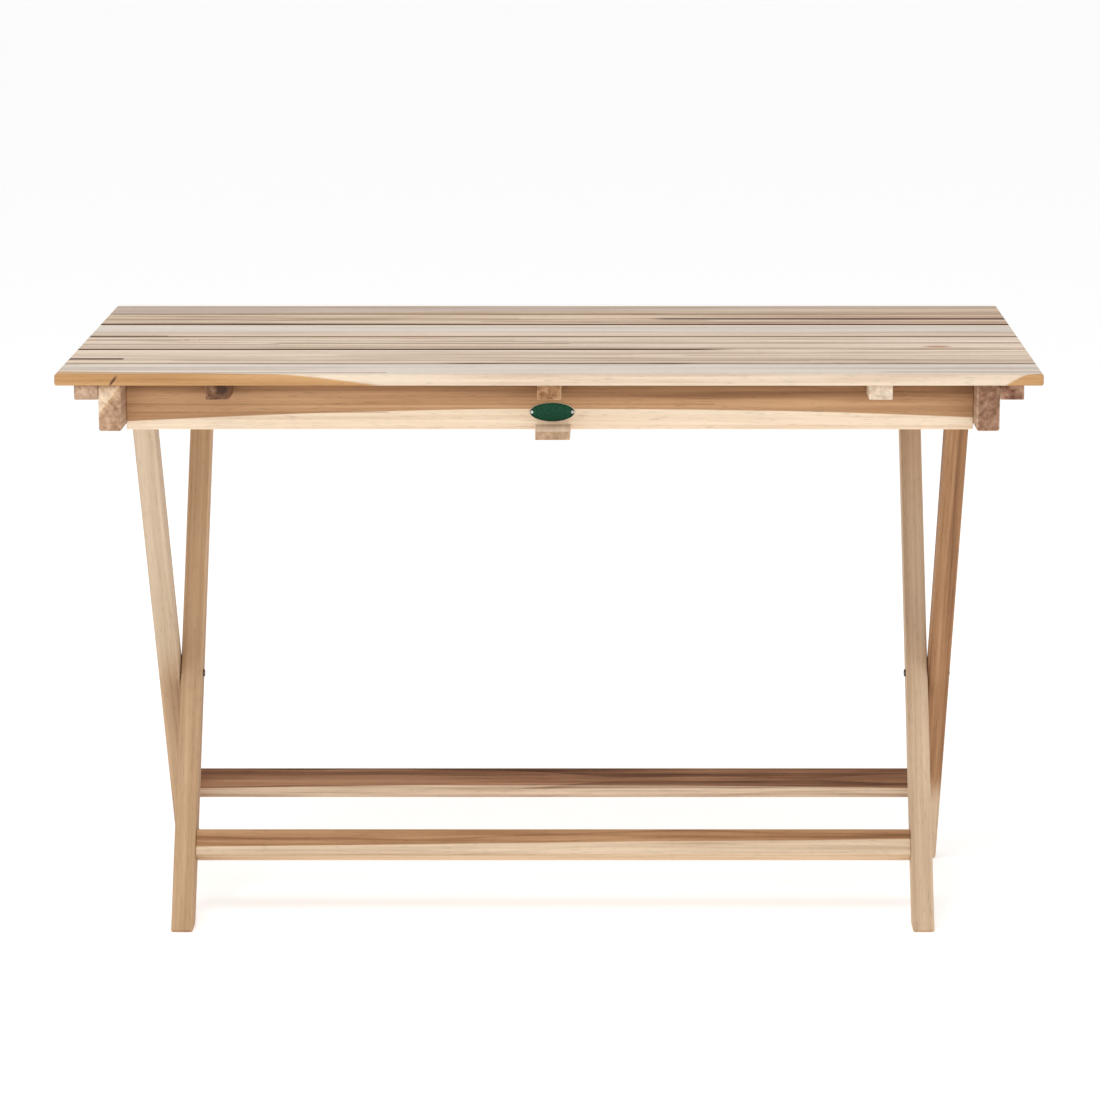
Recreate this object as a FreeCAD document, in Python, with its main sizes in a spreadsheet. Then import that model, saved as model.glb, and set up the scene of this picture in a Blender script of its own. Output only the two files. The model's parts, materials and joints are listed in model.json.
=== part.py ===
import FreeCAD, Part
import math
import os
import Sketcher

# Folding picnic table in hardwood, millimetres.
# Frame: +X to the right, +Y to the back, +Z up, origin on the floor under the middle of the top.
# A slatted top stands on two crossed leg frames. The outer frame turns on two bolts near the
# front of the top, the inner frame turns on the outer one at mid height, and the round rod
# across the top of the inner frame slides under the battens of the top.

SIZES = {
    # top
    "table_width": 1200,
    "table_depth": 600,
    "table_height": 745,
    "slat_thick": 14,
    "slat_gap": 4.8,
    "slat_width_1": 84,
    "slat_width_2": 110,
    "slat_width_3": 104,
    "slat_width_4": 104,
    "slat_width_5": 92,
    "slat_width_6": 82,
    "slat_ease": 2.5,
    "edge_ease": 1.5,
    # members under the slats, all as long as frame_length from front to back
    "frame_length": 590,
    "batten_width": 29,
    "batten_height": 18,
    "inner_batten_x": 388.5,
    "rail_x": 520,
    "rail_width": 28,
    "rail_height": 57,
    "rail_ease": 3.5,
    "apron_thick": 18,
    "apron_height": 62.5,
    "apron_front_y": -249,
    "apron_rear_y": 267.8,
    "guide_x": 4,
    "guide_width": 43,
    "guide_thick": 12,
    "guide_top_z": 675,
    # badge, left blank
    "badge_x": 3,
    "badge_z": 690.5,
    "badge_half_width": 28.5,
    "badge_half_height": 12,
    "badge_thick": 1.6,
    "badge_screw_reach": 25,
    # leg frames
    "leg_thick": 27.5,
    "leg_width": 35,
    "leg_ease": 2.5,
    "foot_ease": 4,
    "outer_leg_x": 490.5,
    "inner_leg_x": 462,
    "pivot_y": -210,
    "pivot_z": 698.7,
    "cross_y": 20,
    "cross_z": 297,
    "stretcher_drop": 232,
    "stretcher_width": 35,
    "front_stretcher_thick": 28,
    "rear_stretcher_thick": 22,
    "rod_radius": 14,
    "tenon_radius": 9,
    "rod_pin_radius": 2.5,
    "rod_pin_length": 30,
    "dowel_radius": 4,
    "dowel_length": 32,
    "dowel_spacing": 18,
    # pivots
    "bolt_radius": 4,
    "running_gap": 0.05,
    "side_gap": 0.3,
    "top_head_radius": 8,
    "top_head_height": 3.5,
    "cross_head_radius": 4.8,
    "cross_head_height": 2.2,
    "nut_radius": 7.2,
    "nut_thick": 6,
    "nut_recess_radius": 8.3,
    "nut_recess_depth": 8,
    "cap_nut_thick": 2.2,
    "cap_nut_wall": 1,
    "cap_nut_ease": 1,
    "top_washer_radius": 11,
    "cross_washer_radius": 9,
    # wood screws
    "screw_radius": 2,
    "screw_head_radius": 4,
    "screw_head_height": 2.2,
    "screw_tip": 4,
    "slat_screw_length": 27,
    "batten_screw_length": 43,
    "apron_screw_length": 50,
    "guide_screw_length": 25,
    "stretcher_screw_length": 40,
    "badge_screw_length": 12,
    "badge_screw_radius": 1,
    "badge_screw_head_radius": 1.8,
    "badge_screw_head_height": 0.9,
}

X_AXIS = FreeCAD.Vector(1, 0, 0)
Y_AXIS = FreeCAD.Vector(0, 1, 0)
ORIGIN = FreeCAD.Vector(0, 0, 0)
SIDES = (("left", -1), ("right", 1))

doc = FreeCAD.newDocument("folding_picnic_table")
sheet = doc.addObject("Spreadsheet::Sheet", "Sizes")


def add_sizes(sizes, first_row):
    """Write named numbers to the sheet, one row each, name beside value."""
    for offset, (alias, value) in enumerate(sizes.items()):
        row = first_row + offset
        sheet.set("A%d" % row, alias)
        sheet.set("B%d" % row, repr(value))
        sheet.setAlias("B%d" % row, alias)
    doc.recompute()


def number(alias):
    """Value of one cell."""
    return float(sheet.get(alias))


add_sizes(SIZES, 1)

# The crossed legs make two equal triangles with the floor and the top, so the slope of a leg,
# the place of the rod and the lengths of the legs follow from the top pivot and the crossing.
half_spread = number("cross_y") - number("pivot_y")
rise = number("pivot_z") - number("cross_z")
tilt_radians = math.atan2(half_spread, rise)
add_sizes({
    "rod_y": number("cross_y") + half_spread,
    "leg_tilt": math.degrees(tilt_radians),
    "upper_arm": math.hypot(half_spread, rise),
    "leg_length": number("pivot_z") / math.cos(tilt_radians),
}, len(SIZES) + 1)

parts = []


def bind(obj, formulas):
    """Bind properties of an object to formulas on the sheet."""
    for path, formula in formulas.items():
        obj.setExpression(path, formula)


def place(obj, x, y, z, tilt=None):
    """Bind an object's position, and its turn about X where a tilt is given."""
    if tilt:
        obj.Placement = FreeCAD.Placement(ORIGIN, FreeCAD.Rotation(X_AXIS, 1))
        obj.setExpression("Placement.Rotation.Angle", tilt)
    bind(obj, {"Placement.Base.x": x, "Placement.Base.y": y, "Placement.Base.z": z})


def keep(obj, name):
    """List an object as a finished sub-part under its own name."""
    obj.Label = name
    parts.append(obj)
    return obj


def cut_by(base, tools, name):
    """Cut holes the exact shape of the tools and keep the result as a sub-part."""
    tool = tools[0]
    if len(tools) > 1:
        tool = doc.addObject("Part::Compound", name + "_hole_shapes")
        tool.Links = tools
    result = doc.addObject("Part::Cut", name)
    result.Base = base
    result.Tool = tool
    return keep(result, name)


def low_x(sign, near, width):
    """Formula for the low X face of a piece whose near face lies at the given distance."""
    if sign > 0:
        return near
    return "-(%s) - %s" % (near, width)


# ---------------------------------------------------------------- plain boards

def board_body(name, size, ease):
    """Body of a planed board with all its edges eased, its low corner at the body's origin."""
    body = doc.addObject("PartDesign::Body", name + "_board")
    block = body.newObject("PartDesign::AdditiveBox", name + "_block")
    bind(block, dict(zip(("Length", "Width", "Height"), size)))
    doc.recompute()
    rounding = body.newObject("PartDesign::Fillet", name + "_easing")
    rounding.Base = (block, ["Face1", "Face2", "Face3", "Face4", "Face5", "Face6"])
    rounding.setExpression("Radius", ease)
    return body


def notch(body, name, size, corner):
    """Rectangular notch in a board, its low corner given in the body's own frame."""
    cutter = body.newObject("PartDesign::SubtractiveBox", name)
    bind(cutter, dict(zip(("Length", "Width", "Height"), size)))
    place(cutter, *corner)


# ---------------------------------------------------------------- turned pieces

def cylinder(name, radius, height, z="0"):
    """Cylinder along Z from the given height."""
    piece = doc.addObject("Part::Cylinder", name)
    bind(piece, {"Radius": radius, "Height": height, "Placement.Base.z": z})
    return piece


def fuse(name, pieces):
    """One solid from several."""
    whole = doc.addObject("Part::MultiFuse", name)
    whole.Shapes = pieces
    return whole


def wood_screw(name, length, radius, head_radius, head_height, tip):
    """Countersunk wood screw: head face at Z 0, point along +Z."""
    head = doc.addObject("Part::Cone", name + "_head")
    bind(head, {"Radius1": head_radius, "Radius2": radius, "Height": head_height})
    shank = cylinder(name + "_shank", radius, "%s - %s" % (length, tip))
    point = doc.addObject("Part::Cone", name + "_point")
    bind(point, {"Radius1": radius, "Height": tip})
    point.Radius2 = 0
    bind(point, {"Placement.Base.z": "%s - %s" % (length, tip)})
    return fuse(name, [head, shank, point])


def standard_screw(name, length):
    """Wood screw of the table's usual gauge."""
    return wood_screw(name, length, "Sizes.screw_radius", "Sizes.screw_head_radius",
                      "Sizes.screw_head_height", "Sizes.screw_tip")


def ring(name, outer, inner, height):
    """Flat ring along Z, such as a washer."""
    disc = cylinder(name + "_disc", outer, height)
    hole = cylinder(name + "_hole", inner, height)
    result = doc.addObject("Part::Cut", name)
    result.Base = disc
    result.Tool = hole
    return result


def dome_bolt(name, length, head_radius, head_height):
    """Bolt with a domed head below Z 0 and its shank along +Z."""
    dome = doc.addObject("Part::Ellipsoid", name + "_dome")
    bind(dome, {"Radius1": head_height, "Radius2": head_radius, "Radius3": head_radius})
    dome.Angle1 = -90
    dome.Angle2 = 0
    shank = cylinder(name + "_shank", "Sizes.bolt_radius", length)
    return fuse(name, [dome, shank])


def group(name, pattern, placements):
    """Separate copies of one fastener, one solid at each placement."""
    copies = []
    for placement in placements:
        copy = pattern.Shape.copy()
        copy.Placement = placement
        copies.append(copy)
    feature = doc.addObject("Part::Feature", name)
    feature.Shape = Part.makeCompound(copies)
    return keep(feature, name)


def aim(x, y, z, direction):
    """Placement that puts a fastener's Z 0 at a point and turns its +Z to a direction."""
    turn = FreeCAD.Rotation(FreeCAD.Vector(0, 0, 1), direction)
    return FreeCAD.Placement(FreeCAD.Vector(x, y, z), turn)


def outward(sign):
    """Direction along X away from the middle on one side."""
    return FreeCAD.Vector(sign, 0, 0)


def inward(sign):
    """Direction along X towards the middle on one side."""
    return FreeCAD.Vector(-sign, 0, 0)


# ---------------------------------------------------------------- places shared by several pieces

slat_widths = [number("slat_width_%d" % (index + 1)) for index in range(6)]
slat_fronts = []
gap_lines = []
edge = -number("table_depth") / 2
for width in slat_widths:
    slat_fronts.append(edge)
    edge += width + number("slat_gap")
    gap_lines.append(edge - number("slat_gap") / 2)
gap_lines.pop()

frame_z = number("table_height") - number("slat_thick")
batten_z = frame_z - number("batten_height")
rail_outer_x = number("rail_x") + number("rail_width")
outer_batten_middle = rail_outer_x + number("batten_width") / 2
inner_batten_middle = number("inner_batten_x") + number("batten_width") / 2
apron_front_middle = number("apron_front_y") + number("apron_thick") / 2
apron_rear_middle = number("apron_rear_y") + number("apron_thick") / 2
outer_leg_face = number("outer_leg_x") + number("leg_thick")

FRAME_Z = "(Sizes.table_height - Sizes.slat_thick)"
FRONT_Y = "-Sizes.frame_length / 2"

# ---------------------------------------------------------------- fasteners of the top

SCREW_EDGE_SHARE = 0.24
up = FreeCAD.Vector(0, 0, 1)
slat_screw = standard_screw("slat_screw_pattern", "Sizes.slat_screw_length")
batten_screw = standard_screw("batten_screw_pattern", "Sizes.batten_screw_length")
apron_screw = standard_screw("apron_screw_pattern", "Sizes.apron_screw_length")
guide_screw = standard_screw("guide_screw_pattern", "Sizes.guide_screw_length")
stretcher_screw = standard_screw("stretcher_screw_pattern", "Sizes.stretcher_screw_length")
badge_screw = wood_screw("badge_screw_pattern", "Sizes.badge_screw_length",
                         "Sizes.badge_screw_radius", "Sizes.badge_screw_head_radius",
                         "Sizes.badge_screw_head_height", "Sizes.screw_tip / 2")
top_bolt = dome_bolt("top_bolt_pattern",
                     "Sizes.rail_x + Sizes.rail_width - Sizes.outer_leg_x"
                     " - Sizes.nut_recess_depth + Sizes.side_gap + Sizes.nut_thick",
                     "Sizes.top_head_radius", "Sizes.top_head_height")
cross_bolt = dome_bolt("cross_bolt_pattern",
                       "Sizes.outer_leg_x + Sizes.leg_thick - Sizes.inner_leg_x"
                       " + Sizes.side_gap + Sizes.cap_nut_thick - Sizes.cap_nut_wall",
                       "Sizes.cross_head_radius", "Sizes.cross_head_height")
top_washer = ring("top_washer_pattern", "Sizes.top_washer_radius", "Sizes.bolt_radius",
                  "Sizes.rail_x - Sizes.outer_leg_x - Sizes.leg_thick - Sizes.side_gap")
cross_washer = ring("cross_washer_pattern", "Sizes.cross_washer_radius", "Sizes.bolt_radius",
                    "Sizes.outer_leg_x - Sizes.inner_leg_x - Sizes.leg_thick - Sizes.side_gap")
nut_hex = doc.addObject("Part::Prism", "nut_hexagon")
nut_hex.Polygon = 6
bind(nut_hex, {"Circumradius": "Sizes.nut_radius", "Height": "Sizes.nut_thick"})
nut_hole = cylinder("nut_hole", "Sizes.bolt_radius", "Sizes.nut_thick")
hex_nut = doc.addObject("Part::Cut", "hex_nut_pattern")
hex_nut.Base = nut_hex
hex_nut.Tool = nut_hole
cap_nut = doc.addObject("PartDesign::Body", "cap_nut_pattern")
cap_disc = cap_nut.newObject("PartDesign::AdditiveCylinder", "cap_nut_disc")
bind(cap_disc, {"Radius": "Sizes.cross_head_radius", "Height": "Sizes.cap_nut_thick"})
doc.recompute()
cap_tops = []
for index, face in enumerate(cap_disc.Shape.Faces):
    if face.normalAt(0, 0).z > 0.9:
        cap_tops.append("Face%d" % (index + 1))
cap_round = cap_nut.newObject("PartDesign::Fillet", "cap_nut_rounding")
cap_round.Base = (cap_disc, cap_tops)
cap_round.setExpression("Radius", "Sizes.cap_nut_ease")
cap_hole = cap_nut.newObject("PartDesign::SubtractiveCylinder", "cap_nut_hole")
bind(cap_hole, {"Radius": "Sizes.bolt_radius",
                "Height": "Sizes.cap_nut_thick - Sizes.cap_nut_wall"})
rod_pin = cylinder("rod_pin_pattern", "Sizes.rod_pin_radius", "Sizes.rod_pin_length")
dowel = cylinder("dowel_pattern", "Sizes.dowel_radius", "Sizes.dowel_length")
doc.recompute()

batten_middles = [-outer_batten_middle, -inner_batten_middle, 0.0, inner_batten_middle,
                  outer_batten_middle]
slat_screw_places = []
for front, width in zip(slat_fronts, slat_widths):
    for share in (SCREW_EDGE_SHARE, 1 - SCREW_EDGE_SHARE):
        for x in batten_middles:
            slat_screw_places.append(aim(x, front + share * width, batten_z, up))
slat_screws = group("slat_screws", slat_screw, slat_screw_places)

batten_screw_places = []
apron_screw_places = []
APRON_SCREW_HEIGHTS = (14, 34)
for side, sign in SIDES:
    for line in gap_lines:
        place_z = batten_z + number("batten_height") / 2
        batten_screw_places.append(aim(sign * number("rail_x"), line, place_z, outward(sign)))
    for y in (apron_front_middle, apron_rear_middle):
        for height in APRON_SCREW_HEIGHTS:
            place_z = frame_z - number("apron_height") + height
            apron_screw_places.append(aim(sign * rail_outer_x, y, place_z, inward(sign)))
batten_screws = group("batten_screws", batten_screw, batten_screw_places)
apron_screws = group("apron_screws", apron_screw, apron_screw_places)

GUIDE_SCREW_REACH = 12
guide_bottom = number("guide_top_z") - number("guide_thick")
guide_screw_places = []
for y in (apron_front_middle, apron_rear_middle):
    for reach in (-GUIDE_SCREW_REACH, GUIDE_SCREW_REACH):
        guide_screw_places.append(aim(number("guide_x") + reach, y, guide_bottom, up))
guide_screws = group("guide_bar_screws", guide_screw, guide_screw_places)

badge_face = number("apron_front_y") - number("badge_thick")
badge_screws = group("badge_screws", badge_screw, [
    aim(number("badge_x") + sign * number("badge_screw_reach"), badge_face,
        number("badge_z"), Y_AXIS)
    for side, sign in SIDES])

# ---------------------------------------------------------------- fasteners of the pivots

pivot_y = number("pivot_y")
pivot_z = number("pivot_z")
cross_y = number("cross_y")
cross_z = number("cross_z")
nut_inner = number("outer_leg_x") + number("nut_recess_depth") - number("side_gap")
top_bolts = group("top_pivot_bolts", top_bolt, [
    aim(sign * rail_outer_x, pivot_y, pivot_z, inward(sign)) for side, sign in SIDES])
group("top_pivot_nuts", hex_nut, [
    aim(sign * nut_inner, pivot_y, pivot_z, inward(sign)) for side, sign in SIDES])
group("top_pivot_washers", top_washer, [
    aim(sign * number("rail_x"), pivot_y, pivot_z, inward(sign)) for side, sign in SIDES])
cross_bolts = group("cross_pivot_bolts", cross_bolt, [
    aim(sign * outer_leg_face, cross_y, cross_z, inward(sign)) for side, sign in SIDES])
group("cross_pivot_nuts", cap_nut, [
    aim(sign * (number("inner_leg_x") - number("side_gap")), cross_y, cross_z, inward(sign))
    for side, sign in SIDES])
group("cross_pivot_washers", cross_washer, [
    aim(sign * number("outer_leg_x"), cross_y, cross_z, inward(sign)) for side, sign in SIDES])

# ---------------------------------------------------------------- fasteners of the leg frames

# Along a leg, "down" runs from its top to its foot, and "face" is square to it, back and up
# on the outer frame, forward and up on the inner frame.
down_outer = FreeCAD.Vector(0, math.sin(tilt_radians), -math.cos(tilt_radians))
face_outer = FreeCAD.Vector(0, math.cos(tilt_radians), math.sin(tilt_radians))
down_inner = FreeCAD.Vector(0, -math.sin(tilt_radians), -math.cos(tilt_radians))
face_inner = FreeCAD.Vector(0, -math.cos(tilt_radians), math.sin(tilt_radians))
crossing = FreeCAD.Vector(0, cross_y, cross_z)
rod_centre = FreeCAD.Vector(0, number("rod_y"), pivot_z)
leg_middle = number("leg_thick") / 2

STRETCHER_SCREW_SPACING = 17
stretcher_screw_places = []
dowel_places = []
rod_pin_places = []
for side, sign in SIDES:
    for step in (-0.5, 0.5):
        along = number("stretcher_drop") + step * STRETCHER_SCREW_SPACING
        out = number("leg_width") / 2 + number("rear_stretcher_thick")
        point = crossing + down_outer * along + face_outer * out
        x = sign * (number("outer_leg_x") + leg_middle)
        stretcher_screw_places.append(aim(x, point.y, point.z, face_outer * -1))
        along = number("stretcher_drop") + step * number("dowel_spacing")
        point = crossing + down_inner * along
        x = sign * (number("inner_leg_x") - number("dowel_length") / 2)
        dowel_places.append(aim(x, point.y, point.z, outward(sign)))
    point = rod_centre - face_inner * (number("leg_width") / 2)
    x = sign * (number("inner_leg_x") + leg_middle)
    rod_pin_places.append(aim(x, point.y, point.z, face_inner))
stretcher_screws = group("rear_stretcher_screws", stretcher_screw, stretcher_screw_places)
dowels = group("front_stretcher_dowels", dowel, dowel_places)
rod_pins = group("slide_rod_pins", rod_pin, rod_pin_places)

# ---------------------------------------------------------------- slats

front_formula = "-Sizes.table_depth / 2"
for index in range(6):
    name = "top_slat_%d" % (index + 1)
    width = "Sizes.slat_width_%d" % (index + 1)
    slat = board_body(name, ("Sizes.table_width", width, "Sizes.slat_thick"), "Sizes.slat_ease")
    place(slat, "-Sizes.table_width / 2", front_formula, FRAME_Z)
    cut_by(slat, [slat_screws], name)
    front_formula += " + %s + Sizes.slat_gap" % width

# ---------------------------------------------------------------- battens

BATTEN_SIZE = ("Sizes.batten_width", "Sizes.frame_length", "Sizes.batten_height")


def batten(name, x, tools):
    """Batten from front to back under the slats."""
    body = board_body(name, BATTEN_SIZE, "Sizes.edge_ease")
    place(body, x, FRONT_Y, "%s - Sizes.batten_height" % FRAME_Z)
    cut_by(body, tools, name)


for side, sign in SIDES:
    outer_x = low_x(sign, "Sizes.rail_x + Sizes.rail_width", "Sizes.batten_width")
    batten("outer_batten_" + side, outer_x, [slat_screws, batten_screws])
    inner_x = low_x(sign, "Sizes.inner_batten_x", "Sizes.batten_width")
    batten("inner_batten_" + side, inner_x, [slat_screws])
batten("middle_batten", "-Sizes.batten_width / 2", [slat_screws])

# ---------------------------------------------------------------- side rails

for side, sign in SIDES:
    name = "side_rail_" + side
    rail = board_body(name, ("Sizes.rail_width", "Sizes.frame_length", "Sizes.rail_height"),
                      "Sizes.rail_ease")
    rail_x = low_x(sign, "Sizes.rail_x", "Sizes.rail_width")
    place(rail, rail_x, FRONT_Y, "%s - Sizes.rail_height" % FRAME_Z)
    cut_by(rail, [batten_screws, apron_screws, top_bolts], name)

# ---------------------------------------------------------------- aprons

NOTCH_FORMULAS = (
    "Sizes.rail_x - Sizes.inner_batten_x - Sizes.batten_width",
    "Sizes.rail_x - Sizes.batten_width / 2",
    "Sizes.rail_x + Sizes.inner_batten_x",
)
for place_name, face_y, tools in (
        ("front", "Sizes.apron_front_y", [apron_screws, guide_screws, badge_screws]),
        ("rear", "Sizes.apron_rear_y", [apron_screws, guide_screws])):
    name = place_name + "_apron"
    apron = board_body(name, ("2 * Sizes.rail_x", "Sizes.apron_thick", "Sizes.apron_height"),
                       "Sizes.edge_ease")
    for index, x in enumerate(NOTCH_FORMULAS):
        notch(apron, "%s_batten_notch_%d" % (name, index + 1),
              ("Sizes.batten_width", "Sizes.apron_thick", "Sizes.batten_height"),
              (x, "0", "Sizes.apron_height - Sizes.batten_height"))
    notch(apron, name + "_guide_notch",
          ("Sizes.guide_width", "Sizes.apron_thick", "Sizes.guide_thick"),
          ("Sizes.rail_x + Sizes.guide_x - Sizes.guide_width / 2", "0",
           "Sizes.apron_height - (%s - Sizes.guide_top_z) - Sizes.guide_thick" % FRAME_Z))
    place(apron, "-Sizes.rail_x", face_y, "%s - Sizes.apron_height" % FRAME_Z)
    cut_by(apron, tools, name)

# ---------------------------------------------------------------- guide bar and badge

guide = board_body("guide_bar", ("Sizes.guide_width", "Sizes.frame_length", "Sizes.guide_thick"),
                   "Sizes.edge_ease")
place(guide, "Sizes.guide_x - Sizes.guide_width / 2", FRONT_Y,
      "Sizes.guide_top_z - Sizes.guide_thick")
cut_by(guide, [guide_screws], "guide_bar")

oval = doc.addObject("Part::Ellipse", "badge_oval")
oval.Placement = FreeCAD.Placement(ORIGIN, FreeCAD.Rotation(X_AXIS, 90))
bind(oval, {"MajorRadius": "Sizes.badge_half_width", "MinorRadius": "Sizes.badge_half_height",
            "Placement.Base.x": "Sizes.badge_x", "Placement.Base.y": "Sizes.apron_front_y",
            "Placement.Base.z": "Sizes.badge_z"})
plate = doc.addObject("Part::Extrusion", "badge_plate_blank")
plate.Base = oval
plate.DirMode = "Custom"
plate.Dir = FreeCAD.Vector(0, -1, 0)
plate.Solid = True
plate.setExpression("LengthFwd", "Sizes.badge_thick")
cut_by(plate, [badge_screws], "badge_plate")

# ---------------------------------------------------------------- legs

HALF_LEG = "Sizes.leg_width / 2"
FOOT_SLANT = "Sizes.leg_width / 2 * tan(Sizes.leg_tilt)"


def leg_body(name, lean):
    """Leg with its top axis at the body's origin: round top, foot cut level with the floor.

    lean is 1 where the foot lies further back than the top, -1 where it lies further forward.
    """
    half = number("leg_width") / 2
    length = number("leg_length")
    ease = number("foot_ease")
    low = "-Sizes.leg_length - %s" % FOOT_SLANT
    high = "-Sizes.leg_length + %s" % FOOT_SLANT
    run = "Sizes.foot_ease * cos(Sizes.leg_tilt)"
    fall = "Sizes.foot_ease * sin(Sizes.leg_tilt)"
    # Each corner: a rough place for the solver to start from, then the formulas that set it.
    corners = [
        (lean * half, 0, None, None),
        (lean * half, -length, "%d * %s" % (lean, HALF_LEG), low + " + Sizes.foot_ease"),
        (lean * (half - ease), -length - ease, "%d * (%s - %s)" % (lean, HALF_LEG, run),
         "%s + %s" % (low, fall)),
        (lean * (ease - half), -length + ease, "%d * (%s - %s)" % (-lean, HALF_LEG, run),
         "%s - %s" % (high, fall)),
        (-lean * half, -length + 2 * ease, "%d * %s" % (-lean, HALF_LEG),
         high + " + Sizes.foot_ease"),
        (-lean * half, 0, None, None),
    ]
    body = doc.addObject("PartDesign::Body", name + "_timber")
    sketch = body.newObject("Sketcher::SketchObject", name + "_outline")
    plane = [item for item in body.Origin.OriginFeatures if item.Role == "YZ_Plane"][0]
    sketch.AttachmentSupport = (plane, [""])
    sketch.MapMode = "FlatFace"
    points = [FreeCAD.Vector(corner[0], corner[1], 0) for corner in corners]
    for start, end in zip(points, points[1:]):
        sketch.addGeometry(Part.LineSegment(start, end), False)
    circle = Part.Circle(ORIGIN, FreeCAD.Vector(0, 0, 1), half)
    sketch.addGeometry(Part.ArcOfCircle(circle, 0, math.pi), False)
    last = len(points) - 1
    for index in range(last - 1):
        sketch.addConstraint(Sketcher.Constraint("Coincident", index, 2, index + 1, 1))
    first_end = 1 if lean > 0 else 2
    sketch.addConstraint(Sketcher.Constraint("Coincident", 0, 1, last, first_end))
    sketch.addConstraint(Sketcher.Constraint("Coincident", last - 1, 2, last, 3 - first_end))
    sketch.addConstraint(Sketcher.Constraint("Coincident", last, 3, -1, 1))
    sketch.addConstraint(Sketcher.Constraint("PointOnObject", last, 1, -1))
    sketch.addConstraint(Sketcher.Constraint("PointOnObject", last, 2, -1))
    radius = sketch.addConstraint(Sketcher.Constraint("Radius", last, half))
    sketch.setExpression("Constraints[%d]" % radius, HALF_LEG)
    for index in range(1, last):
        across = Sketcher.Constraint("DistanceX", -1, 1, index - 1, 2, points[index].x)
        number_x = sketch.addConstraint(across)
        sketch.setExpression("Constraints[%d]" % number_x, corners[index][2])
        along = Sketcher.Constraint("DistanceY", -1, 1, index - 1, 2, points[index].y)
        number_y = sketch.addConstraint(along)
        sketch.setExpression("Constraints[%d]" % number_y, corners[index][3])
    doc.recompute()
    pad = body.newObject("PartDesign::Pad", name + "_thickness")
    pad.Profile = sketch
    pad.setExpression("Length", "Sizes.leg_thick")
    doc.recompute()
    sides = []
    for index, face in enumerate(pad.Shape.Faces):
        if abs(face.normalAt(0, 0).x) > 0.9:
            sides.append("Face%d" % (index + 1))
    easing = body.newObject("PartDesign::Fillet", name + "_easing")
    easing.Base = (pad, sides)
    easing.setExpression("Radius", "Sizes.leg_ease")
    return body


def bore(name, x, y, z, radius, length):
    """Hole shape along +X from a given face."""
    hole = doc.addObject("Part::Cylinder", name)
    hole.Placement = FreeCAD.Placement(ORIGIN, FreeCAD.Rotation(Y_AXIS, 90))
    bind(hole, {"Radius": radius, "Height": length, "Placement.Base.x": x,
                "Placement.Base.y": y, "Placement.Base.z": z})
    return hole


RUNNING_RADIUS = "Sizes.bolt_radius + Sizes.running_gap"

for side, sign in SIDES:
    name = "outer_leg_" + side
    leg_x = low_x(sign, "Sizes.outer_leg_x", "Sizes.leg_thick")
    leg = leg_body(name, 1)
    place(leg, leg_x, "Sizes.pivot_y", "Sizes.pivot_z", "Sizes.leg_tilt")
    recess_x = low_x(sign, "Sizes.outer_leg_x", "Sizes.nut_recess_depth")
    pivot_bore = bore(name + "_pivot_bore", leg_x, "Sizes.pivot_y", "Sizes.pivot_z",
                      RUNNING_RADIUS, "Sizes.leg_thick")
    recess = bore(name + "_nut_recess", recess_x, "Sizes.pivot_y", "Sizes.pivot_z",
                  "Sizes.nut_recess_radius", "Sizes.nut_recess_depth")
    cut_by(leg, [pivot_bore, recess, cross_bolts, stretcher_screws], name)

# ---------------------------------------------------------------- slide rod

rod_round = bore("slide_rod_round", "-Sizes.inner_leg_x", "Sizes.rod_y", "Sizes.pivot_z",
                 "Sizes.rod_radius", "2 * Sizes.inner_leg_x")
rod_tenons = bore("slide_rod_tenons", "-Sizes.inner_leg_x - Sizes.leg_thick", "Sizes.rod_y",
                  "Sizes.pivot_z", "Sizes.tenon_radius",
                  "2 * (Sizes.inner_leg_x + Sizes.leg_thick)")
rod_blank = fuse("slide_rod_blank", [rod_round, rod_tenons])
cut_by(rod_blank, [rod_pins], "slide_rod")

for side, sign in SIDES:
    name = "inner_leg_" + side
    leg_x = low_x(sign, "Sizes.inner_leg_x", "Sizes.leg_thick")
    leg = leg_body(name, -1)
    place(leg, leg_x, "Sizes.rod_y", "Sizes.pivot_z", "-Sizes.leg_tilt")
    cross_bore = bore(name + "_cross_bore", leg_x, "Sizes.cross_y", "Sizes.cross_z",
                      RUNNING_RADIUS, "Sizes.leg_thick")
    cut_by(leg, [cross_bore, rod_tenons, rod_pins, dowels], name)

# ---------------------------------------------------------------- stretchers

# The front stretcher lies between the inner legs, centred on them. The rear stretcher is
# planted on the back faces of the outer legs, so that the frames can close fully.
DOWN_Y = "sin(Sizes.leg_tilt)"
DOWN_Z = "cos(Sizes.leg_tilt)"


def stretcher(name, half_length, thick, offset, lean, tools):
    """Stretcher across two legs. offset is from the leg's middle line to the stretcher's
    near face, along the leg's upper normal."""
    body = board_body(name, ("2 * (%s)" % half_length, thick, "Sizes.stretcher_width"),
                      "Sizes.edge_ease")
    along = "(Sizes.stretcher_drop + Sizes.stretcher_width / 2)"
    if lean > 0:
        near = "(%s)" % offset
        tilt = "Sizes.leg_tilt"
    else:
        near = "(-(%s) - %s)" % (offset, thick)
        tilt = "-Sizes.leg_tilt"
    y = "Sizes.cross_y + %d * %s * %s + %s * %s" % (lean, along, DOWN_Y, near, DOWN_Z)
    z = "Sizes.cross_z - %s * %s + %d * %s * %s" % (along, DOWN_Z, lean, near, DOWN_Y)
    place(body, "-(%s)" % half_length, y, z, tilt)
    cut_by(body, tools, name)


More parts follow.
